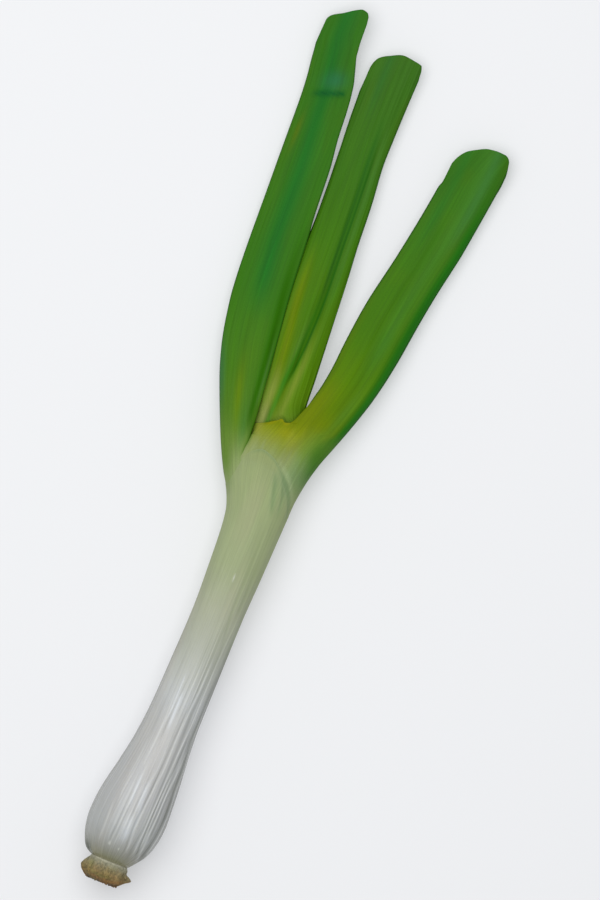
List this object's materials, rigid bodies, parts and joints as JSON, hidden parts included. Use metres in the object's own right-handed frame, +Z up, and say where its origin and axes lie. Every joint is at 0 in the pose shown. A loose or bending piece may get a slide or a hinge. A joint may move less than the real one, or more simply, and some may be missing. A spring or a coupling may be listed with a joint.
{
  "type": "leek",
  "caption": "Whole fresh leek lying on its side: trimmed roots, a long white shank with a slight bulb, and a fan of cut green leaves.",
  "frame": {"origin": "on the surface the leek lies on, under the middle of its outline seen from above", "axes": "+Y along the shank from the roots to the leaf tips, +X across the fan of leaves, +Z up from the surface"},
  "size_m": [0.1134, 0.4534, 0.0381],
  "materials": {
    "root": "matt, fibrous trimmed roots",
    "white_shank": "smooth, moist skin, white turning pale green",
    "green_leaf": "satin leaf with fine lengthwise veins"
  },
  "bodies": {
    "root": {"root_plate": "root", "shank": "white_shank", "leaf_left": "green_leaf", "leaf_middle": "green_leaf", "leaf_right": "green_leaf"}
  },
  "joints": []
}
